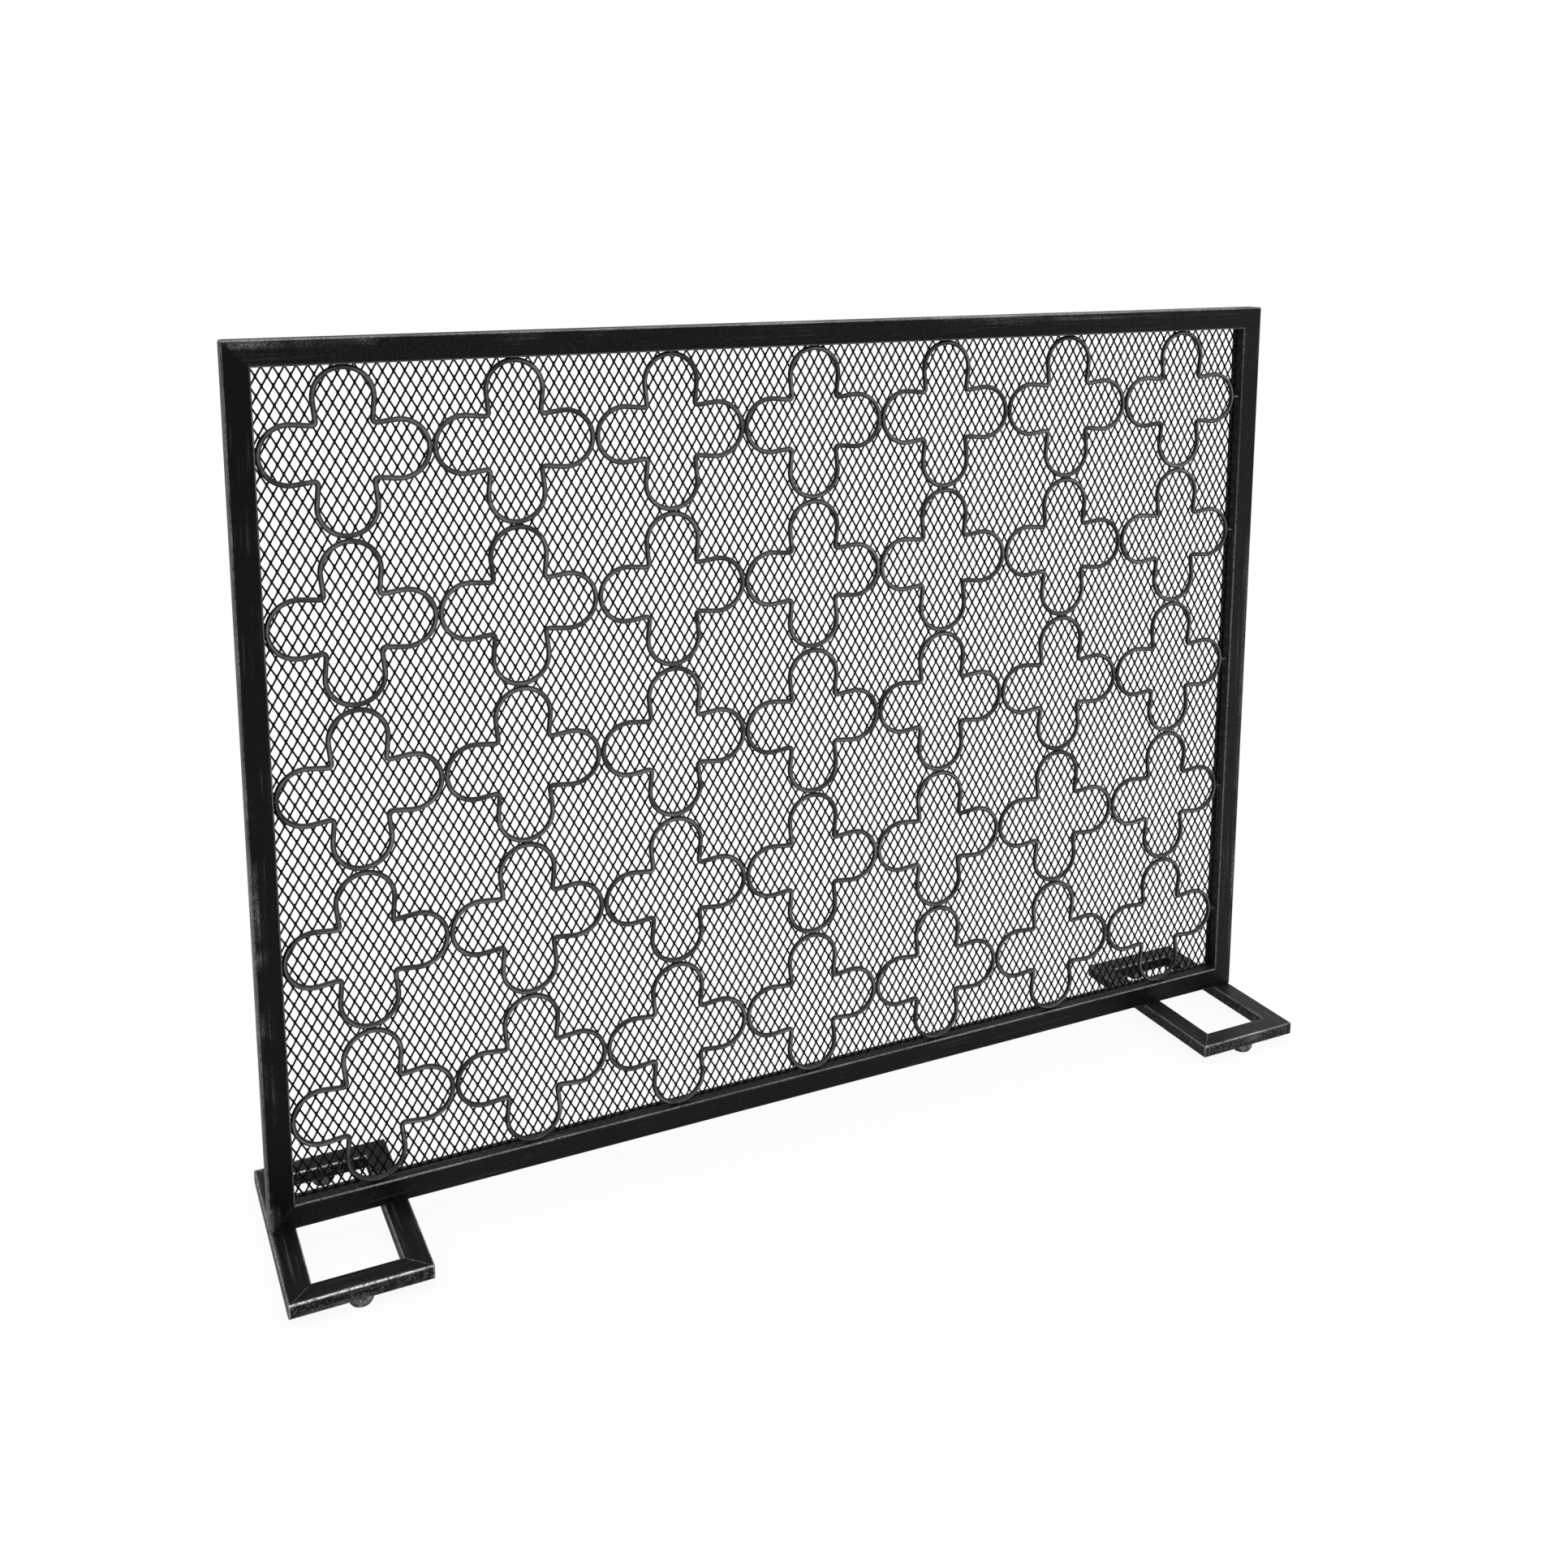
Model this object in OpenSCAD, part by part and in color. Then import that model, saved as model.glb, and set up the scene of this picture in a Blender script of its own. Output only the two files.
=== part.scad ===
// Single-panel fireplace screen: a welded tube frame with bent-wire clovers in
// front of a diamond spark mesh, bolted onto two flat ring feet on glides.
// Origin on the floor, under the middle of the width and of the feet's depth.
// X runs across the screen, -Y faces the room and +Z is up.

/* [Overall] */
// Width over the frame and over the outer sides of the feet
screen_w = 1041.4; // [700:0.1:1400]
// Height from the floor to the top of the frame
screen_h = 781.05; // [560:0.05:1100]
// Depth of each foot, front to back
foot_depth = 203.2; // [140:0.1:320]

/* [Frame tube] */
// Width of the tube's face, seen from the front
tube_face = 22; // [18:0.5:32]
// Depth of the frame tube, front to back
tube_depth = 19; // [16:0.5:30]
// Wall thickness of all tubes
tube_wall = 1.5; // [1:0.1:2]
// Radius along the tubes' long edges
tube_round = 2; // [1.5:0.1:2.5]
// Radius of the frame's and the feet's outer corners, seen square on
corner_round = 2.5; // [1.5:0.1:3]
// How far the frame's middle stands behind the middle of the feet
frame_setback = 6; // [0:0.5:10]

/* [Feet] */
// Width of one ring foot, left to right
foot_w = 118; // [90:1:180]
// Height of the foot's tube
foot_h = 12.7; // [10:0.1:20]

/* [Clover pattern] */
// Wire diameter
wire_d = 4.5; // [3:0.1:6]
// Length of a lobe's neck, from the waist corner to level with the lobe's middle
neck_l = 21.55; // [17:0.05:26]
// How much less the neck's half-width is than the lobe's radius
neck_step = 2.2; // [0.5:0.1:4]
// Bend radius in the waist corners, to the middle of the wire
waist_bend_r = 3.2; // [3:0.1:4]
// Gap between the last column of clovers and the right post, bridged by the pins
pin_gap = 6.2; // [2:0.1:12]
// Diameter of the bridging pins
pin_d = 4; // [3:0.1:4.5]
// Middle of the wires behind the front of the frame
wire_inset = 6; // [4:0.1:7]

/* [Spark mesh] */
// Width of one diamond
diamond_w = 9.1; // [8:0.1:20]
// Height of one diamond
diamond_h = 15.8; // [12:0.1:32]
// Width of a strand
strand_w = 1.5; // [0.8:0.1:2]
// Thickness of one layer of strands
strand_t = 0.6; // [0.4:0.1:1]
// Width of the strip that joins the ends of the strands
mesh_edge_w = 0.8; // [0.6:0.1:3]
// Front of the mesh behind the front of the frame
mesh_inset = 12; // [10:0.1:13]

/* [Glides] */
// Height of a glide below the foot
glide_h = 8; // [5:0.5:14]
// Diameter of a glide
glide_d = 22; // [14:0.5:24]
// Width of the rounded rim between a glide's side and the flat that rests on the floor
glide_rim = 2.5; // [1:0.5:4]
// Diameter of the stem pressed into the foot
glide_stem_d = 8; // [6:0.5:10]
// Length of the stem above the underside of the foot
glide_stem_l = 6; // [4:0.5:8]

/* [Fixings] */
// Bolt diameter
bolt_d = 6; // [4:0.5:8]
// Clearance hole for the bolt in the foot
bolt_hole_d = 6.6; // [6.4:0.1:9]
// Diameter of the bolt head
bolt_head_d = 11; // [9.5:0.5:14]
// Height of the bolt head, inside the glides' height
bolt_head_h = 3.3; // [2.5:0.1:4]
// Outer diameter of the threaded insert in the frame
insert_d = 9; // [8.5:0.5:12]
// Length of the threaded insert
insert_l = 12; // [8:0.5:14]
// Length of bolt thread that sticks out above the insert
bolt_past_insert = 1; // [0:0.5:3]

/* [Hidden] */
$fn = 96;
clovers_across = 7; // the clovers side by side, as many as the nodes named below
clovers_up = 5; // the clovers one above the other
quarter_turn = 90;
least_inner_round = 0.5; // smallest radius of the edges inside a tube
tube_inner_round = max(tube_round - tube_wall, 0) + least_inner_round;
foot_base_z = glide_h;
frame_base_z = foot_base_z + foot_h;
frame_h = screen_h - frame_base_z;
frame_front_y = frame_setback - tube_depth / 2;
open_w = screen_w - 2 * tube_face;
open_h = frame_h - 2 * tube_face;
open_left_x = -open_w / 2;
open_base_z = frame_base_z + tube_face;

// The clovers fill the opening from rail to rail, and from the left post to the pins.
clover_w = (open_w - pin_gap) / clovers_across;
clover_h = open_h / clovers_up;

// The lobes take what the necks and the wire leave of a clover's narrower side.
clover_side = min(clover_w, clover_h);
lobe_r = ((clover_side - wire_d) / 2 - neck_l + neck_step) / 2;
waist = lobe_r - neck_step;
wire_y = frame_front_y + wire_inset;
side_lobe_x = (clover_w - wire_d) / 2 - lobe_r;
top_lobe_z = (clover_h - wire_d) / 2 - lobe_r;

mesh_front_y = frame_front_y + mesh_inset;
diamonds_across = round(open_w / diamond_w);
diamonds_up = round(open_h / diamond_h);
cell_w = open_w / diamonds_across;
cell_h = open_h / diamonds_up;

glide_flat_d = glide_d - 2 * glide_rim;
foot_mid_x = (screen_w - foot_w) / 2;
side_rail_x = (foot_w - tube_face) / 2;
end_rail_y = (foot_depth - tube_face) / 2;
slack = 1; // how far a cutting shape runs past what it cuts
joint_run = 0.2; // how far a straight stretch of wire runs into the arcs at its ends
joint_step = 0.04; // how much thinner it is than the arcs

// ---------- Tubes ----------

module rounded_rectangle(w, h, r) {
  square([w - 2 * r, h], center = true);
  square([w, h - 2 * r], center = true);
  for (x = [-1, 1], y = [-1, 1])
    translate([x * (w / 2 - r), y * (h / 2 - r)]) circle(r);
}

// A tube along X, mitred to 45 degrees at both ends. Its long outer side is at
// z = 0 and its face runs up to z = tube_face. thick is its size along Y.
module mitred_tube(length, thick, across) {
  intersection() {
    translate([0, 0, tube_face / 2])
      rotate([quarter_turn, 0, quarter_turn])
        linear_extrude(length, center = true)
          difference() {
            rounded_rectangle(thick, tube_face, tube_round);
            rounded_rectangle(thick - 2 * tube_wall, tube_face - 2 * tube_wall,
                              tube_inner_round);
          }
    rotate([quarter_turn, 0, 0])
      linear_extrude(thick + 2 * slack, center = true)
        intersection() {
          polygon([[-length / 2, 0], [length / 2, 0],
                   [length / 2 - tube_face, tube_face], [tube_face - length / 2, tube_face]]);
          translate([0, across / 2]) rounded_rectangle(length, across, corner_round);
        }
  }
}

// ---------- Frame ----------

module frame_rail() mitred_tube(screen_w, tube_depth, frame_h);

module frame_post() mitred_tube(frame_h, tube_depth, screen_w);

module top_rail() color("#2b2b2c")
  translate([0, frame_setback, screen_h]) mirror([0, 0, 1]) frame_rail();

module bottom_rail() color("#2b2b2c")
  difference() {
    translate([0, frame_setback, frame_base_z]) frame_rail();
    at_bolts() translate([0, 0, frame_base_z - slack]) cylinder(d = insert_d, h = tube_wall + 2 * slack);
  }

module left_post() color("#2b2b2c")
  translate([-screen_w / 2, frame_setback, frame_base_z + frame_h / 2])
    rotate([0, quarter_turn, 0]) frame_post();

module right_post() color("#2b2b2c") mirror([1, 0, 0]) left_post();

// ---------- Feet ----------

// A foot rail along X with its long side toward -Y, lying flat on the glides' tops.
module flat_rail(length, across)
  translate([0, 0, foot_h / 2]) rotate([-quarter_turn, 0, 0]) mitred_tube(length, foot_h, across);

module at_foot(side) translate([side * foot_mid_x, 0, foot_base_z]) children();

// end is -1 for the front rail and 1 for the rear rail.
module foot_end_rail(side, end) color("#303031")
  difference() {
    at_foot(side)
      rotate([0, 0, end < 0 ? 0 : 2 * quarter_turn]) translate([0, -foot_depth / 2, 0])
        flat_rail(foot_w, foot_depth);
    at_glide(side, end) translate([0, 0, glide_h - slack])
      cylinder(d = glide_stem_d, h = tube_wall + 2 * slack);
  }

// way is -1 for the rail on the left of its foot and 1 for the one on the right.
module foot_side_rail(side, way) color("#303031")
  difference() {
    at_foot(side)
      rotate([0, 0, way * quarter_turn]) translate([0, -foot_w / 2, 0])
        flat_rail(foot_depth, foot_w);
    at_bolts() translate([0, 0, foot_base_z - slack])
      cylinder(d = bolt_hole_d, h = foot_h + 2 * slack);
  }

// ---------- Clovers ----------

// How far the side of a lobe leans out from the lobe's own axis, in degrees, when
// the lobe's middle is the given reach from the middle of the clover.
function lobe_lean(reach) =
  let (to_lobe = [-waist, reach - waist])
  quarter_turn - atan2(to_lobe[1], to_lobe[0]) + asin(lobe_r / norm(to_lobe));

// Length of the straight stretch from the waist corner to where the lobe's arc starts.
function side_length(reach) =
  sqrt(waist * waist + (reach - waist) * (reach - waist) - lobe_r * lobe_r);

module wire_arc(bend_r, start, sweep)
  rotate([0, 0, start]) rotate_extrude(angle = sweep) translate([bend_r, 0]) circle(d = wire_d);

// A straight stretch of wire that points away from the waist corner, from near to far.
// It is a hair thinner than the arcs and runs a little way into them, so they join.
module wire_side(direction, near, far)
  translate([waist, waist]) rotate([0, 0, direction]) translate([near - joint_run, 0, 0])
    rotate([0, quarter_turn, 0]) cylinder(d = wire_d - joint_step, h = far - near + 2 * joint_run);

module waist_corner() {
  top_way = quarter_turn - lobe_lean(top_lobe_z);
  side_way = lobe_lean(side_lobe_x);
  between = top_way - side_way;
  bend_end = waist_bend_r / tan(between / 2);
  bend_middle = waist_bend_r / sin(between / 2);
  wire_side(top_way, bend_end, side_length(top_lobe_z));
  wire_side(side_way, bend_end, side_length(side_lobe_x));
  translate([waist, waist]) rotate([0, 0, side_way + between / 2]) translate([bend_middle, 0, 0])
    rotate([0, 0, -side_way - between / 2])
      wire_arc(waist_bend_r, top_way + quarter_turn, 2 * quarter_turn - between);
}

module lobe(reach)
  translate([0, reach, 0]) wire_arc(lobe_r, -lobe_lean(reach), 2 * (quarter_turn + lobe_lean(reach)));

// One closed loop of bent wire. Row 1 is at the top and column 1 at the left.
module clover(row, col) color("#333334")
  translate([open_left_x + (col - 0.5) * clover_w, wire_y,
             open_base_z + (clovers_up - row + 0.5) * clover_h])
    rotate([quarter_turn, 0, 0]) {
      for (turn = [0, 2 * quarter_turn]) {
        rotate([0, 0, turn]) lobe(top_lobe_z);
        rotate([0, 0, turn + quarter_turn]) lobe(side_lobe_x);
      }
      for (x = [0, 1], y = [0, 1]) mirror([x, 0, 0]) mirror([0, y, 0]) waist_corner();
    }

// The short pins that bridge from the last column of clovers to the right post.
module bridging_pins() color("#3a3a3b")
  for (row = [1:clovers_up])
    translate([open_w / 2 - pin_gap, wire_y, open_base_z + (row - 0.5) * clover_h])
      rotate([0, quarter_turn, 0]) cylinder(d = pin_d, h = pin_gap);

// ---------- Spark mesh ----------

// One layer of the mesh: parallel strands cut off at the opening, joined all round by
// a narrow edge strip. lean is 1 for strands that rise to the right, or -1.
module strand_layer(lean, front_y) {
  run = open_h * cell_w / cell_h;
  tilt = atan2(cell_h, cell_w);
  reach = norm([open_h, run]) + 2 * strand_w;
  across = diamonds_across + round(run / cell_w);
  translate([0, front_y, open_base_z + open_h / 2]) {
    intersection() {
      for (i = [1:across - 1])
        translate([open_left_x - run / 2 + i * cell_w, 0, 0])
          rotate([0, -lean * tilt, 0])
            translate([-reach / 2, 0, -strand_w / 2]) cube([reach, strand_t, strand_w]);
      translate([0, strand_t / 2, 0]) cube([open_w, 2 * strand_t, open_h], center = true);
    }
    translate([0, strand_t / 2, 0]) difference() {
      cube([open_w, strand_t, open_h], center = true);
      cube([open_w - 2 * mesh_edge_w, 2 * strand_t, open_h - 2 * mesh_edge_w], center = true);
    }
  }
}

module mesh_rising_strands() color("#1d1d1e") strand_layer(1, mesh_front_y);

module mesh_falling_strands() color("#1d1d1e") strand_layer(-1, mesh_front_y + strand_t);

// ---------- Glides and fixings ----------

module at_glide(side, end) translate([side * foot_mid_x, end * end_rail_y, 0]) children();

// A low round pad with a domed underside, on a stem that is pressed into the foot rail.
module glide(side, end) color("#1a1a1b") {
  dome_mid_z = (glide_d * glide_d / 4 + glide_h * glide_h - glide_flat_d * glide_flat_d / 4)
               / (2 * glide_h);
  dome_r = norm([glide_flat_d / 2, dome_mid_z]);
  at_glide(side, end) {
    intersection() {
      cylinder(d = glide_d, h = glide_h);
      translate([0, 0, dome_mid_z]) sphere(dome_r);
    }
    translate([0, 0, glide_h]) cylinder(d = glide_stem_d, h = glide_stem_l);
  }
}

// The four places where a side rail of a foot is bolted up into the bottom rail.
module at_bolts()
  for (side = [-1, 1], way = [-1, 1])
    translate([side * foot_mid_x + way * side_rail_x, frame_setback, 0]) children();

module foot_bolts() color("#8a8c8e")
  at_bolts() {
    translate([0, 0, foot_base_z - bolt_head_h]) cylinder(d = bolt_head_d, h = bolt_head_h);
    translate([0, 0, foot_base_z])
      cylinder(d = bolt_d, h = foot_h + insert_l + bolt_past_insert);
  }

module threaded_inserts() color("#a0a2a4")
  at_bolts() translate([0, 0, frame_base_z])
    difference() {
      cylinder(d = insert_d, h = insert_l);
      translate([0, 0, -slack]) cylinder(d = bolt_d, h = insert_l + 2 * slack);
    }

top_rail();
bottom_rail();
left_post();
right_post();
mesh_rising_strands();
mesh_falling_strands();
bridging_pins();
clover(1, 1);  // clover_row1_col1
clover(1, 2);  // clover_row1_col2
clover(1, 3);  // clover_row1_col3
clover(1, 4);  // clover_row1_col4
clover(1, 5);  // clover_row1_col5
clover(1, 6);  // clover_row1_col6
clover(1, 7);  // clover_row1_col7
clover(2, 1);  // clover_row2_col1
clover(2, 2);  // clover_row2_col2
clover(2, 3);  // clover_row2_col3
clover(2, 4);  // clover_row2_col4
clover(2, 5);  // clover_row2_col5
clover(2, 6);  // clover_row2_col6
clover(2, 7);  // clover_row2_col7
clover(3, 1);  // clover_row3_col1
clover(3, 2);  // clover_row3_col2
clover(3, 3);  // clover_row3_col3
clover(3, 4);  // clover_row3_col4
clover(3, 5);  // clover_row3_col5
clover(3, 6);  // clover_row3_col6
clover(3, 7);  // clover_row3_col7
clover(4, 1);  // clover_row4_col1
clover(4, 2);  // clover_row4_col2
clover(4, 3);  // clover_row4_col3
clover(4, 4);  // clover_row4_col4
clover(4, 5);  // clover_row4_col5
clover(4, 6);  // clover_row4_col6
clover(4, 7);  // clover_row4_col7
clover(5, 1);  // clover_row5_col1
clover(5, 2);  // clover_row5_col2
clover(5, 3);  // clover_row5_col3
clover(5, 4);  // clover_row5_col4
clover(5, 5);  // clover_row5_col5
clover(5, 6);  // clover_row5_col6
clover(5, 7);  // clover_row5_col7
foot_end_rail(-1, -1);  // left_foot_front_rail
foot_end_rail(-1, 1);  // left_foot_rear_rail
foot_side_rail(-1, -1);  // left_foot_outer_rail
foot_side_rail(-1, 1);  // left_foot_inner_rail
foot_end_rail(1, -1);  // right_foot_front_rail
foot_end_rail(1, 1);  // right_foot_rear_rail
foot_side_rail(1, 1);  // right_foot_outer_rail
foot_side_rail(1, -1);  // right_foot_inner_rail
glide(-1, -1);  // front_left_glide
glide(1, -1);  // front_right_glide
glide(-1, 1);  // rear_left_glide
glide(1, 1);  // rear_right_glide
foot_bolts();
threaded_inserts();
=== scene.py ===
import bpy, math, random
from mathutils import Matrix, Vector


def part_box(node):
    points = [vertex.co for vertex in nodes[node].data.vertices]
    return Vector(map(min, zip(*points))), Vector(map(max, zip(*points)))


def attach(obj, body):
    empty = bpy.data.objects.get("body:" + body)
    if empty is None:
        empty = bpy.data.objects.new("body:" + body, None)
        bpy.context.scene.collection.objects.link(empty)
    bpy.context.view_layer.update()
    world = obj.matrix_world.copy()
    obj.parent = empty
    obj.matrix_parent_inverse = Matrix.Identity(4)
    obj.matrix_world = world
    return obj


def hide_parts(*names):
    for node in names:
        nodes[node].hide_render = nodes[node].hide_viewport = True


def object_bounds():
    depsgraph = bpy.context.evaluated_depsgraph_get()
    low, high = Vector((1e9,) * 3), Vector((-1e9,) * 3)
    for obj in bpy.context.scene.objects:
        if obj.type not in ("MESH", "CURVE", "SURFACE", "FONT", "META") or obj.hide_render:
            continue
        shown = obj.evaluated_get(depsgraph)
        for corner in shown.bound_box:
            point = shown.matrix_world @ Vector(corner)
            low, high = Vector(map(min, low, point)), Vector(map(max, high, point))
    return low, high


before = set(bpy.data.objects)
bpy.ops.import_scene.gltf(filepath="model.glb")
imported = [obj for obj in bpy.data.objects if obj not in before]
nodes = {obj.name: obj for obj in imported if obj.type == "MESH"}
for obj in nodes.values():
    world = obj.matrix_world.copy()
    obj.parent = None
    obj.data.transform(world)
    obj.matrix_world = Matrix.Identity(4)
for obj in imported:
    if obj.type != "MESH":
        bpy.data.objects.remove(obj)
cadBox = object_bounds()
print("frame loaded")

def newMaterial(name, **sockets):
    material = bpy.data.materials.new(name)
    material.use_nodes = True
    shader = material.node_tree.nodes["Principled BSDF"]
    for socket, value in sockets.items():
        shader.inputs[socket.replace("_", " ")].default_value = value
    return material, material.node_tree, shader


def addNode(tree, kind, options=None, **inputs):
    node = tree.nodes.new(kind)
    for option, value in (options or {}).items():
        setattr(node, option, value)
    for name, value in inputs.items():
        byNumber = name.startswith("in")   # in0 is the first socket
        socket = node.inputs[int(name[2:]) if byNumber else name.replace("_", " ")]
        if isinstance(value, bpy.types.NodeSocket):
            tree.links.new(value, socket)
        else:
            socket.default_value = value
    return node


def mathNode(tree, operation, a, b=0.0, clamp=False):
    node = addNode(tree, "ShaderNodeMath", {"operation": operation, "use_clamp": clamp}, in0=a, in1=b)
    return node.outputs[0]


def product(tree, first, *others):
    for other in others:
        first = mathNode(tree, "MULTIPLY", first, other)
    return first


# A smooth step from toLow, where the value is low, to toHigh, where it is high.
def ramp(tree, value, low, high, toLow=0.0, toHigh=1.0):
    node = addNode(tree, "ShaderNodeMapRange", {"interpolation_type": "SMOOTHSTEP"}, Value=value,
                   From_Min=low, From_Max=high, To_Min=toLow, To_Max=toHigh)
    return node.outputs[0]


def objectPlace(tree, scale=(1, 1, 1)):
    coordinates = addNode(tree, "ShaderNodeTexCoord")
    mapping = addNode(tree, "ShaderNodeMapping", Vector=coordinates.outputs["Object"], Scale=scale)
    return mapping.outputs[0]


def noise(tree, place, scale, detail=2.0, roughness=0.5):
    node = addNode(tree, "ShaderNodeTexNoise", Vector=place, Scale=scale, Detail=detail,
                   Roughness=roughness)
    return node.outputs[0]


def mixColour(tree, amount, first, second):
    node = addNode(tree, "ShaderNodeMix", {"data_type": "RGBA"}, in0=amount, in6=first, in7=second)
    return node.outputs[2]


def grey(value, tint=0.0):
    return (value, value * (1 + tint / 3), value * (1 + tint), 1)


# 0 where a surface faces squarely along X, Y or Z and 1 along the rounded edges between such faces.
def edgeAmount(tree, facing):
    absolute = addNode(tree, "ShaderNodeVectorMath", {"operation": "ABSOLUTE"}, in0=facing)
    parts = addNode(tree, "ShaderNodeSeparateXYZ", in0=absolute.outputs[0])
    largest = mathNode(tree, "MAXIMUM", parts.outputs[0], parts.outputs[1])
    largest = mathNode(tree, "MAXIMUM", largest, parts.outputs[2])
    return ramp(tree, largest, 0.995, 0.90)


# 1 along the mitre lines of a rectangle of tubes that lies in the plane of X and another axis.
# A point on a mitre is equally far from the rectangle's two outer edges.
def mitreAmount(tree, place, mitre, width=0.0007):
    parts = addNode(tree, "ShaderNodeSeparateXYZ", in0=place)
    first = mathNode(tree, "SUBTRACT", mathNode(tree, "ABSOLUTE", parts.outputs[0]), mitre["middleX"])
    first = mathNode(tree, "SUBTRACT", mitre["halfX"], mathNode(tree, "ABSOLUTE", first))
    second = mathNode(tree, "SUBTRACT", parts.outputs[mitre["axis"]], mitre["middle"])
    second = mathNode(tree, "SUBTRACT", mitre["half"], mathNode(tree, "ABSOLUTE", second))
    apart = mathNode(tree, "ABSOLUTE", mathNode(tree, "SUBTRACT", first, second))
    return ramp(tree, apart, width, width * 0.2)


footLow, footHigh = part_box("right_foot_front_rail")
frameLow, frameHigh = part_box("left_post")
footMitre = {"middleX": (footLow.x + footHigh.x) / 2, "halfX": (footHigh.x - footLow.x) / 2,
             "axis": 1, "middle": 0.0, "half": cadBox[1][1]}
frameMitre = {"middleX": 0.0, "halfX": cadBox[1][0],
              "axis": 2, "middle": (frameLow.z + frameHigh.z) / 2, "half": (frameHigh.z - frameLow.z) / 2}

tubePaint = {
    "black": 0.004, "blackRough": 0.38, "silver": 0.58, "silverRough": 0.38, "metal": 0.8, "shine": 0.20,
    "streakLength": 9.0, "streakFineness": 620.0,   # noise cells per metre along and across the brush
    "wideBrush": 0.3,   # the heavier strip's cells against the streaks'
    "patchScale": 7.0, "speckScale": 1300.0, "breakScale": 420.0, "film": 0.045,
    "bandTop": 9.0,   # metres, the height where the heavier strip ends
    "bumpHeight": 0.00012, "brushDepth": 0.6,   # metres, and the brush's share against the specks
}


# Satin black paint with silver brushed thinly over it along the tube and caught on its edges.
# In wear, along is the axis of the tube; streaks, edges, sides and seams are how much silver is
# left on the flats, the edges, the upright faces and the mitres; band is the axis, the outer edge,
# the width and the amount of a greyer strip beside the outer edge: painted reflection of the side
# lights along the outer sides of the feet and the left post, heavier brushing elsewhere.
# The numbers in each ramp are the noise values between which the silver starts and is full.
def brushedPaint(name, wear, look=tubePaint):
    material, tree, shader = newMaterial(name, IOR=1.5, Specular_IOR_Level=look["shine"])
    stretched = [look["streakFineness"]] * 3
    stretched[wear["along"]] = look["streakLength"]
    coarse = [value * look["wideBrush"] for value in stretched]
    place = objectPlace(tree)
    facing = addNode(tree, "ShaderNodeNewGeometry").outputs["Normal"]
    brush = noise(tree, objectPlace(tree, stretched), 1.0, 3.0, 0.6)
    wideBrush = noise(tree, objectPlace(tree, coarse), 1.0, 4.0, 0.7)
    patches = noise(tree, place, look["patchScale"], 3.0, 0.6)
    specks = noise(tree, place, look["speckScale"], 1.0)
    broken = noise(tree, place, look["breakScale"], 3.0, 0.7)
    patchMask = ramp(tree, patches, 0.44, 0.66)
    speckMask = ramp(tree, specks, 0.36, 0.62)

    streakMask = product(tree, ramp(tree, brush, 0.54, 0.76), patchMask, wear["streaks"])
    edgeMask = product(tree, edgeAmount(tree, facing), ramp(tree, broken, 0.36, 0.58, 0.30, 1.0),
                       ramp(tree, patches, 0.30, 0.60, 0.35, 1.0), wear["edges"])
    upright = addNode(tree, "ShaderNodeSeparateXYZ", in0=facing).outputs[2]
    sideMask = product(tree, ramp(tree, mathNode(tree, "ABSOLUTE", upright), 0.7, 0.2, 0.0, wear["sides"]),
                       ramp(tree, broken, 0.46, 0.70), speckMask)
    axis, edgeAt, width, amount = wear["band"]
    across = addNode(tree, "ShaderNodeSeparateXYZ", in0=place).outputs[axis]
    nearEdge = ramp(tree, mathNode(tree, "ABSOLUTE", across), edgeAt - width, edgeAt - width * 0.3,
                    0.0, amount)
    height = addNode(tree, "ShaderNodeSeparateXYZ", in0=place).outputs[2]
    # On the outer sides of the feet and the left post this strip is painted reflection of the side lights;
    # elsewhere it is heavier brushing.
    bandWearAndSheen = product(tree, nearEdge, ramp(tree, wideBrush, 0.40, 0.68), speckMask, patchMask,
                       ramp(tree, height, look["bandTop"], look["bandTop"] * 0.6))
    seamMask = product(tree, mitreAmount(tree, place, wear["mitre"]), ramp(tree, broken, 0.40, 0.62, 0.1, 1.0),
                       ramp(tree, patches, 0.40, 0.60, 0.25, 1.0), wear["seams"])

    worn = streakMask
    for mask in (edgeMask, sideMask, bandWearAndSheen, seamMask):
        worn = mathNode(tree, "MAXIMUM", worn, mask)
    film = product(tree, ramp(tree, specks, 0.55, 0.72), look["film"])
    silver = mathNode(tree, "ADD", worn, film, True)
    colour = mixColour(tree, silver, grey(look["black"], 0.06), grey(look["silver"]))
    tree.links.new(colour, shader.inputs["Base Color"])
    tree.links.new(product(tree, silver, look["metal"]), shader.inputs["Metallic"])
    roughness = mathNode(tree, "ADD", ramp(tree, silver, 0, 1, look["blackRough"], look["silverRough"]),
                         ramp(tree, specks, 0.3, 0.8, -0.05, 0.08))
    tree.links.new(roughness, shader.inputs["Roughness"])
    grain = mathNode(tree, "ADD", specks, product(tree, brush, look["brushDepth"]))
    bump = addNode(tree, "ShaderNodeBump", Strength=0.25, Distance=look["bumpHeight"], Height=grain)
    tree.links.new(bump.outputs[0], shader.inputs["Normal"])
    return material


wirePaint = {
    "black": 0.002, "crest": 0.30, "metal": 0.55, "rough": 0.30, "shine": 0.35,
    "rubAndSheenScale": 22.0, "speckScale": 1500.0, "bumpHeight": 0.0001,
}
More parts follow.
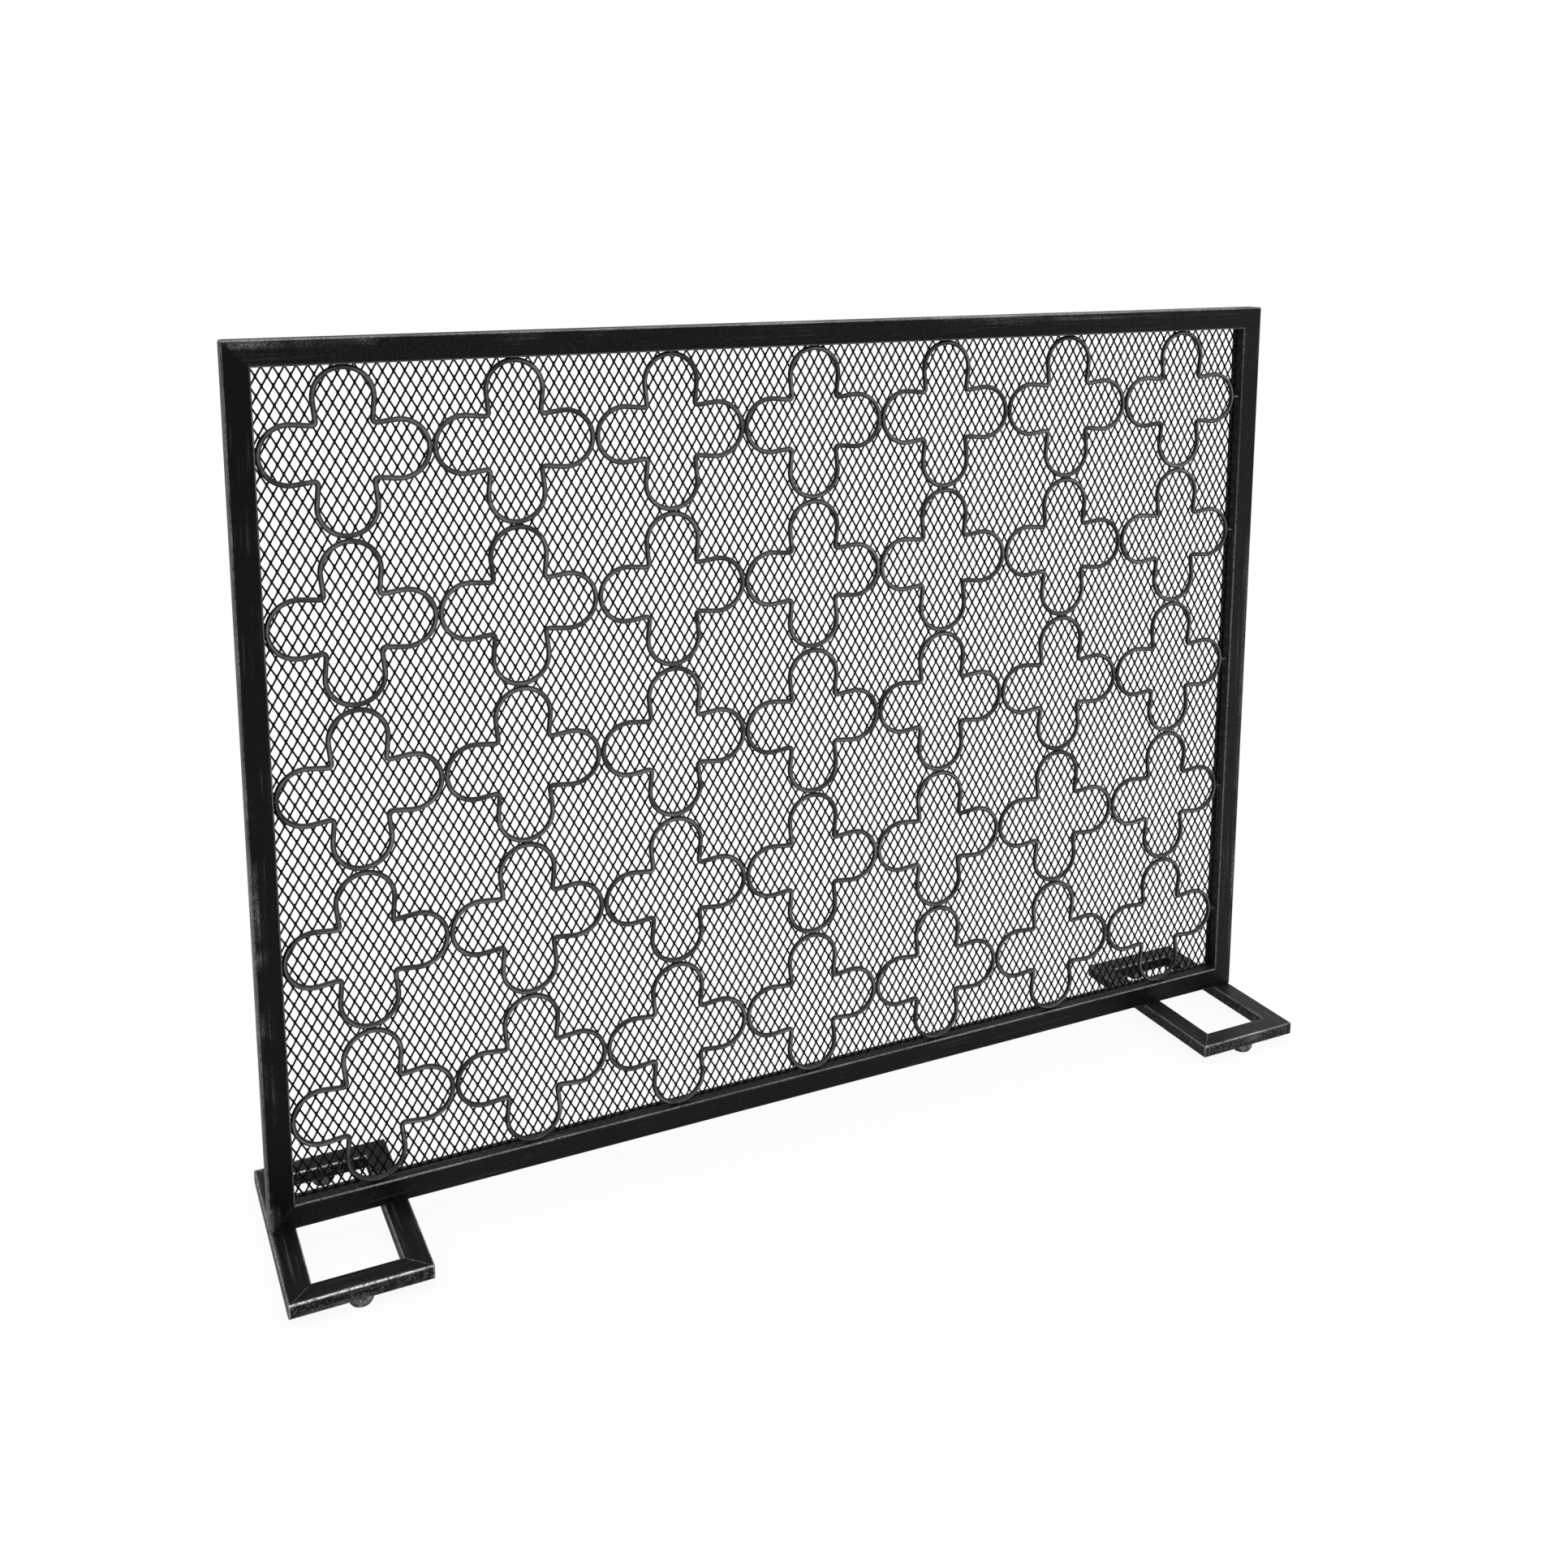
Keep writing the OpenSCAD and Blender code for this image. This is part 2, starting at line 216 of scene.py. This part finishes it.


# The clovers' paint, grey along the crest of the wire that faces the room: silver brushed onto the crest, and
# a painted highlight there as well.
def crestPaint(name, look=wirePaint):
    material, tree, shader = newMaterial(name, IOR=1.5, Specular_IOR_Level=look["shine"])
    place = objectPlace(tree)
    geometry = addNode(tree, "ShaderNodeNewGeometry")
    parts = addNode(tree, "ShaderNodeSeparateXYZ", in0=geometry.outputs["Normal"])
    facing = product(tree, parts.outputs[1], -1.0)   # the room is towards -Y
    rubAndSheen = ramp(tree, noise(tree, place, look["rubAndSheenScale"], 4.0, 0.65), 0.34, 0.66, 0.15, 1.0)
    specks = noise(tree, place, look["speckScale"], 1.0)
    # The grey on the front-facing crest is partly silver paint, partly painted highlight standing in for the
    # sheen of the round wire.
    crest = product(tree, ramp(tree, facing, 0.80, 1.0), rubAndSheen, ramp(tree, specks, 0.3, 0.6, 0.6, 1.0))
    colour = mixColour(tree, crest, grey(look["black"]), grey(look["crest"]))
    tree.links.new(colour, shader.inputs["Base Color"])
    tree.links.new(product(tree, crest, look["metal"]), shader.inputs["Metallic"])
    roughness = ramp(tree, specks, 0.3, 0.8, look["rough"] - 0.05, look["rough"] + 0.08)
    tree.links.new(roughness, shader.inputs["Roughness"])
    bump = addNode(tree, "ShaderNodeBump", Strength=0.2, Distance=look["bumpHeight"], Height=specks)
    tree.links.new(bump.outputs[0], shader.inputs["Normal"])
    return material


# light shows in specks over dark, and amount is how fully the brightest specks show it.
meshLook = {"dark": 0.002, "light": 0.02, "metallic": 0.0, "rough": 0.50, "speckScale": 900.0,
            "amount": 0.4, "shine": 0.14, "bumpHeight": 0.0001}
glideLook = {"dark": 0.12, "light": 0.60, "metallic": 0.4, "rough": 0.32, "speckScale": 300.0,
             "amount": 0.9, "shine": 0.4, "bumpHeight": 0.0001}
zincLook = {"dark": 0.42, "light": 0.62, "metallic": 1.0, "rough": 0.34, "speckScale": 700.0,
            "amount": 0.7, "shine": 0.5, "bumpHeight": 0.0001}
weldLook = {"dark": 0.010, "light": 0.22, "metallic": 0.3, "rough": 0.42, "speckScale": 420.0,
            "amount": 0.7, "shine": 0.22, "bumpHeight": 0.0001}


def speckledFinish(name, look):
    material, tree, shader = newMaterial(name, Metallic=look["metallic"], Specular_IOR_Level=look["shine"])
    place = objectPlace(tree)
    specks = noise(tree, place, look["speckScale"], 3.0, 0.6)
    clouds = noise(tree, place, look["speckScale"] / 12, 2.0)
    mask = product(tree, ramp(tree, specks, 0.42, 0.72), ramp(tree, clouds, 0.3, 0.65, 0.4, 1.0),
                   look["amount"])
    tree.links.new(mixColour(tree, mask, grey(look["dark"]), grey(look["light"])), shader.inputs["Base Color"])
    roughness = ramp(tree, specks, 0.3, 0.75, look["rough"] + 0.08, look["rough"] - 0.06)
    tree.links.new(roughness, shader.inputs["Roughness"])
    bump = addNode(tree, "ShaderNodeBump", Strength=0.35, Distance=look["bumpHeight"], Height=specks)
    tree.links.new(bump.outputs[0], shader.inputs["Normal"])
    return material


halfWide, halfDeep, top = cadBox[1]
frameAcrossWear = {"along": 0, "streaks": 0.16, "edges": 0.38, "sides": 0.0, "seams": 0.10,
                   "mitre": frameMitre, "band": (2, top, 0.009, 0.9)}
frameUprightWear = {"along": 2, "streaks": 0.16, "edges": 0.34, "sides": 0.0, "seams": 0.10,
                    "mitre": frameMitre, "band": (0, halfWide, 0.008, 0.6)}
# The left post's wider band greys its outer side near the floor: painted reflection of the light at the left.
leftPostWearAndSheen = dict(frameUprightWear, streaks=0.14, edges=0.36, band=(0, halfWide, 0.013, 0.75))
footFront = {"along": 0, "mitre": footMitre, "band": (1, halfDeep, 0.005, 0.8)}
# The band greys the feet's outer sides: painted reflection of the side lights.
footSide = {"along": 1, "mitre": footMitre, "band": (0, halfWide, 0.004, 0.3)}
leftFrontWear = dict(footFront, streaks=0.10, edges=1.0, sides=0.36, seams=0.50)
leftSideWearAndSheen = dict(footSide, streaks=0.10, edges=0.38, sides=0.20, seams=0.50)
# The right foot's greater streaks and sides grey it more than the left: painted reflection of the bright
# studio at the right, over real wear.
rightFrontWearAndSheen = dict(footFront, streaks=0.20, edges=0.72, sides=0.62, seams=0.60)
rightSideWearAndSheen = dict(footSide, streaks=0.20, edges=0.34, sides=0.34, seams=0.60)
# Deep black, darker than the right post as painted shade; the grey strip down the outer side near the floor is
# painted reflection of the light at the left.
leftPostPaint = dict(tubePaint, patchScale=18.0, bandTop=0.44, film=0.014, shine=0.13)
leftFootPaint = dict(tubePaint, silver=0.66, shine=0.10, film=0.016)   # deep black, bright edges; darker than the right foot as painted shade
rightFootPaintWithSheen = dict(tubePaint, silver=0.46, film=0.085, patchScale=24.0)   # greyer all over: painted reflection of the bright studio at the right

paintAcross = brushedPaint("paint_brushed_across", frameAcrossWear)
paintUpright = brushedPaint("paint_brushed_upright", frameUprightWear)
paintLeftPost = brushedPaint("paint_left_post", leftPostWearAndSheen, leftPostPaint)
leftFootAcross = brushedPaint("left_foot_across", leftFrontWear, leftFootPaint)
leftFootDeep = brushedPaint("left_foot_front_to_back", leftSideWearAndSheen, leftFootPaint)
rightFootAcross = brushedPaint("right_foot_across", rightFrontWearAndSheen, rightFootPaintWithSheen)
rightFootDeep = brushedPaint("right_foot_front_to_back", rightSideWearAndSheen, rightFootPaintWithSheen)
wireFinish = crestPaint("wire_paint")
meshFinish = speckledFinish("mesh_paint", meshLook)
glideFinish = speckledFinish("glide_metal", glideLook)
zincFinish = speckledFinish("zinc_plate", zincLook)
weldFinish = speckledFinish("weld_paint", weldLook)
print("materials made")


def finishFor(name):
    if name in ("top_rail", "bottom_rail"):
        return paintAcross
    if name == "left_post":
        return paintLeftPost
    if name == "right_post":
        return paintUpright
    if name.endswith(("front_rail", "rear_rail")):
        return leftFootAcross if name.startswith("left") else rightFootAcross
    if name.endswith(("outer_rail", "inner_rail")):
        return leftFootDeep if name.startswith("left") else rightFootDeep
    if name.startswith(("clover", "bridging")):
        return wireFinish
    if name.startswith("mesh"):
        return meshFinish
    if name.endswith("glide"):
        return glideFinish
    return zincFinish


for name, node in nodes.items():
    node.data.materials.clear()
    node.data.materials.append(finishFor(name))
print("frame nodes finished")


def pickOnly(*pieces):
    bpy.ops.object.select_all(action="DESELECT")
    for piece in pieces:
        piece.select_set(True)
    bpy.context.view_layer.objects.active = pieces[0]


def copyOf(piece, place):
    twin = piece.copy()
    twin.data = piece.data.copy()
    twin.location = place
    bpy.context.collection.objects.link(twin)
    return twin


def settle(piece, finish):
    pickOnly(piece)
    bpy.ops.object.transform_apply(location=True, rotation=True, scale=True)
    piece.data.materials.clear()
    piece.data.materials.append(finish)
    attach(piece, "root")


cloverGrid = {"rows": 5, "columns": 7}
beadLook = {"sides": 10, "rings": 6, "across": 0.0026, "along": 0.0031, "deep": 0.0021, "saddle": 0.78,
            "vary": 0.18, "seed": 7}


# Where each wire touches its neighbour, a rail, the left post or a pin: the place and
# whether the wires run upright there.
def wireContacts():
    contacts = []
    for row in range(1, cloverGrid["rows"] + 1):
        for column in range(1, cloverGrid["columns"] + 1):
            low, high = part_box(f"clover_row{row}_col{column}")
            middle = (low + high) / 2
            contacts.append((Vector((high.x, middle.y, middle.z)), True))
            contacts.append((Vector((middle.x, middle.y, high.z)), False))
            if column == 1:
                contacts.append((Vector((low.x, middle.y, middle.z)), True))
            if row == cloverGrid["rows"]:
                contacts.append((Vector((middle.x, middle.y, low.z)), False))
            if column == cloverGrid["columns"]:
                contacts.append((Vector((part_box("bridging_pins")[1].x, middle.y, middle.z)), True))
    return contacts


# Selects what a test on each vertex's place lets through, and leaves the piece in edit mode.
def editPlaces(piece, test):
    pickOnly(piece)
    bpy.ops.object.mode_set(mode="EDIT")
    bpy.ops.mesh.select_mode(type="VERT")
    bpy.ops.mesh.select_all(action="DESELECT")
    bpy.ops.object.mode_set(mode="OBJECT")
    for vertex in piece.data.vertices:
        vertex.select = test(vertex.co)
    bpy.ops.object.mode_set(mode="EDIT")


# Tack welds, modelled once and copied to every contact: a ball drawn out towards the two
# wires it joins and pinched into a saddle between them.
def tackWelds(look=beadLook):
    chance = random.Random(look["seed"])
    bpy.ops.object.select_all(action="DESELECT")
    bpy.ops.mesh.primitive_uv_sphere_add(segments=look["sides"], ring_count=look["rings"], radius=1.0,
                                         rotation=(0, math.pi / 2, 0))
    first = bpy.context.object
    bpy.ops.object.transform_apply(location=False, rotation=True, scale=False)
    editPlaces(first, lambda place: abs(place.x) < 0.1)
    bpy.ops.transform.resize(value=(1, look["saddle"], look["saddle"]))
    bpy.ops.object.mode_set(mode="OBJECT")
    bpy.ops.object.shade_smooth()
    beads = []
    for place, upright in wireContacts():
        bead = copyOf(first, place)
        across, along, deep = (look[side] * chance.uniform(1 - look["vary"], 1 + look["vary"])
                               for side in ("across", "along", "deep"))
        bead.scale = (across, deep, along) if upright else (along, deep, across)
        beads.append(bead)
    bpy.data.objects.remove(first)
    pickOnly(*beads)
    bpy.ops.object.join()
    piece = bpy.context.object
    piece.name = "tack_welds"
    settle(piece, weldFinish)
    print("tack welds:", len(beads))


bondLook = {"cellWide": 0.0091, "cellTall": 0.0158, "wide": 0.0028, "tall": 0.0050, "proud": 0.00005,
            "frontTaper": 0.72}


# The solid diamonds where strands cross, one row of them repeated up and across the mesh.
def meshBonds(look=bondLook):
    low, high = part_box("mesh_rising_strands")
    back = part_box("mesh_falling_strands")[1].y
    across = round((high.x - low.x) / look["cellWide"])
    up = round((high.z - low.z) / look["cellTall"])
    cellWide, cellTall = (high.x - low.x) / across, (high.z - low.z) / up
    thick = back - low.y + 2 * look["proud"]
    parts = []
    for shift, columns, rows in ((0.5, across, up), (1.0, across - 1, up - 1)):
        bpy.ops.object.select_all(action="DESELECT")
        bpy.ops.mesh.primitive_cylinder_add(vertices=4, radius=0.5, depth=1.0, rotation=(math.pi / 2, 0, 0))
        bond = bpy.context.object
        bpy.ops.object.transform_apply(location=False, rotation=True, scale=False)
        editPlaces(bond, lambda place: place.y < 0)
        bpy.ops.transform.resize(value=(look["frontTaper"], 1, look["frontTaper"]))
        bpy.ops.object.mode_set(mode="OBJECT")
        bond.scale = (look["wide"], thick, look["tall"])
        bpy.ops.object.transform_apply(location=False, rotation=False, scale=True)
        bond.location = (low.x + shift * cellWide, (low.y + back) / 2, low.z + shift * cellTall)
        for count, step in ((columns, (cellWide, 0, 0)), (rows, (0, 0, cellTall))):
            repeat = bond.modifiers.new("repeat", "ARRAY")
            repeat.count = count
            repeat.use_relative_offset = False
            repeat.use_constant_offset = True
            repeat.constant_offset_displace = step
            bpy.ops.object.modifier_apply(modifier=repeat.name)
        parts.append(bond)
    pickOnly(*parts)
    bpy.ops.object.join()
    piece = bpy.context.object
    piece.name = "mesh_bonds"
    settle(piece, meshFinish)
    print("mesh bonds:", len(piece.data.polygons) // 6)


boltLook = {"headWide": 0.0110, "headTall": 0.0033, "domeWide": 0.0017, "keyWide": 0.0040, "keyDeep": 0.0018,
            "shank": 0.0060, "sides": 48, "shankSides": 24, "threadPitch": 0.0010, "threadDeep": 0.0004,
            "ridgeTall": 0.8}   # a ridge's share of the pitch


def addCylinder(sides, radius, low, high):
    bpy.ops.object.select_all(action="DESELECT")
    bpy.ops.mesh.primitive_cylinder_add(vertices=sides, radius=radius, depth=high - low,
                                        location=(0, 0, (low + high) / 2))
    return bpy.context.object


# A button-head bolt with a hexagon socket and ridges for its thread, head down on the Z axis.
def footBolt(low, top, look=boltLook):
    headTop = low + look["headTall"]
    pitch, core = look["threadPitch"], look["shank"] / 2 - look["threadDeep"]
    head = addCylinder(look["sides"], look["headWide"] / 2, low, headTop)
    bpy.ops.object.mode_set(mode="EDIT")
    bpy.ops.mesh.select_all(action="DESELECT")
    bpy.ops.object.mode_set(mode="OBJECT")
    for edge in head.data.edges:
        edge.select = all(head.data.vertices[v].co.z < 0 for v in edge.vertices)
    bpy.ops.object.mode_set(mode="EDIT")
    bpy.ops.mesh.bevel(offset=look["domeWide"], segments=5, profile=0.5)
    bpy.ops.object.mode_set(mode="OBJECT")
    key = addCylinder(6, look["keyWide"] / 2 / math.cos(math.pi / 6), low - look["keyDeep"],
                      low + look["keyDeep"])
    pickOnly(head)
    socket = head.modifiers.new("socket", "BOOLEAN")
    socket.object = key
    socket.solver = "EXACT"
    bpy.ops.object.modifier_apply(modifier=socket.name)
    bpy.data.objects.remove(key)
    shank = addCylinder(look["shankSides"], core, headTop, top)
    height = headTop + pitch
    bpy.ops.object.select_all(action="DESELECT")
    bpy.ops.mesh.primitive_cone_add(vertices=look["shankSides"], radius1=look["shank"] / 2, radius2=core,
                                    depth=pitch * look["ridgeTall"], location=(0, 0, height))
    ridge = bpy.context.object
    parts = [head, shank, ridge]
    while height + pitch < top - pitch:
        height += pitch
        parts.append(copyOf(ridge, (0, 0, height)))
    pickOnly(*parts)
    bpy.ops.object.join()
    return bpy.context.object


# The bolts stand in one row: two at the ends of the foot_bolts node's box and two in the
# middles of the feet's inner rails.
def footBolts(look=boltLook):
    low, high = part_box("foot_bolts")
    edge = look["headWide"] / 2
    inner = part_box("left_foot_inner_rail")
    innerX = (inner[0].x + inner[1].x) / 2
    y = (low.y + high.y) / 2
    first = footBolt(low.z, high.z)
    bolts = [copyOf(first, (x, y, first.location.z)) for x in (low.x + edge, innerX, -innerX, high.x - edge)]
    bpy.data.objects.remove(first)
    pickOnly(*bolts)
    bpy.ops.object.join()
    piece = bpy.context.object
    piece.name = "button_head_bolts"
    settle(piece, zincFinish)
    pickOnly(piece)
    bpy.ops.object.shade_smooth_by_angle(angle=math.radians(35))
    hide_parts("foot_bolts")
    print("bolts:", len(bolts))


tackWelds()
meshBonds()
footBolts()


studio = {
    "floorWhite": 0.05, "floorInReflections": 0.45,   # the floor's paint as seen directly and by the object
    "background": 1.0, "floorGlow": 0.93, "floorWide": 24,
    "zenith": 2.3, "horizonBack": 0.34, "horizonFront": 0.06, "horizonRight": 0.22,
}


def whiteFloor():
    low, high = Vector(cadBox[0]), Vector(cadBox[1])
    middle = (low + high) / 2
    bpy.ops.mesh.primitive_plane_add(size=studio["floorWide"], location=(middle.x, middle.y, low.z))
    floor = bpy.context.object
    floor.name = "floor"
    material, tree, shader = newMaterial("floor_white", Roughness=1.0, Specular_IOR_Level=0.0)
    path = addNode(tree, "ShaderNodeLightPath")
    colour = mixColour(tree, path.outputs["Is Camera Ray"], grey(studio["floorInReflections"]),
                       grey(studio["floorWhite"]))
    tree.links.new(colour, shader.inputs["Base Color"])
    shader.inputs["Emission Color"].default_value = grey(1.0)
    glow = mathNode(tree, "MULTIPLY", path.outputs["Is Camera Ray"], studio["floorGlow"])
    tree.links.new(glow, shader.inputs["Emission Strength"])
    floor.data.materials.append(material)


# A studio that is bright overhead, paler behind the screen and dark where the camera stands.
def studioLight():
    world = bpy.data.worlds.new("studio")
    bpy.context.scene.world = world
    world.use_nodes = True
    tree = world.node_tree
    direction = addNode(tree, "ShaderNodeTexCoord")
    parts = addNode(tree, "ShaderNodeSeparateXYZ", in0=direction.outputs["Generated"])
    back = ramp(tree, parts.outputs[1], -0.15, 0.75, studio["horizonFront"], studio["horizonBack"])
    right = ramp(tree, parts.outputs[0], 0.15, 0.9, 0.0, studio["horizonRight"])
    above = ramp(tree, parts.outputs[2], 0.50, 0.88, 0.0, studio["zenith"])
    strength = mathNode(tree, "ADD", mathNode(tree, "ADD", back, right), above)
    path = addNode(tree, "ShaderNodeLightPath")
    seen = addNode(tree, "ShaderNodeBackground", Color=(1, 1, 1, 1), Strength=studio["background"])
    lit = addNode(tree, "ShaderNodeBackground", Color=(1, 1, 1, 1), Strength=strength)
    mix = addNode(tree, "ShaderNodeMixShader", in0=path.outputs["Is Camera Ray"], in1=lit.outputs[0],
                  in2=seen.outputs[0])
    tree.links.new(mix.outputs[0], tree.nodes["World Output"].inputs[0])


softboxAim = Vector((0, 0, 0.35))
softboxes = {
    "left": {"at": (-2.6, -0.4, 1.9), "size": (1.2, 1.6), "power": 14},
    "right": {"at": (2.6, -1.2, 1.6), "size": (1.2, 1.6), "power": 12},
}


def addSoftboxes():
    for name, box in softboxes.items():
        light = bpy.data.lights.new(name, "AREA")
        light.shape = "RECTANGLE"
        light.size, light.size_y = box["size"]
        light.energy = box["power"]
        lamp = bpy.data.objects.new(name, light)
        lamp.location = box["at"]
        aim = softboxAim - lamp.location
        lamp.rotation_euler = aim.to_track_quat("-Z", "Y").to_euler()
        bpy.context.collection.objects.link(lamp)


camera = {
    "at": (-0.6561, -1.2990, 0.8777), "turn": -25.55, "down": 9.17,
    "lens": 36.44, "sensor": 36.0, "shift": (0.0, -0.2),
}


def addCamera():
    data = bpy.data.cameras.new("camera")
    data.sensor_width = camera["sensor"]
    data.lens = camera["lens"]
    data.shift_x, data.shift_y = camera["shift"]
    data.clip_end = 60
    eye = bpy.data.objects.new("camera", data)
    eye.location = camera["at"]
    eye.rotation_euler = (math.radians(90 - camera["down"]), 0, math.radians(camera["turn"]))
    bpy.context.collection.objects.link(eye)
    bpy.context.scene.camera = eye


whiteFloor()
studioLight()
addSoftboxes()
addCamera()
bpy.context.scene.view_settings.view_transform = "Standard"
print("floor, lights and camera ready")
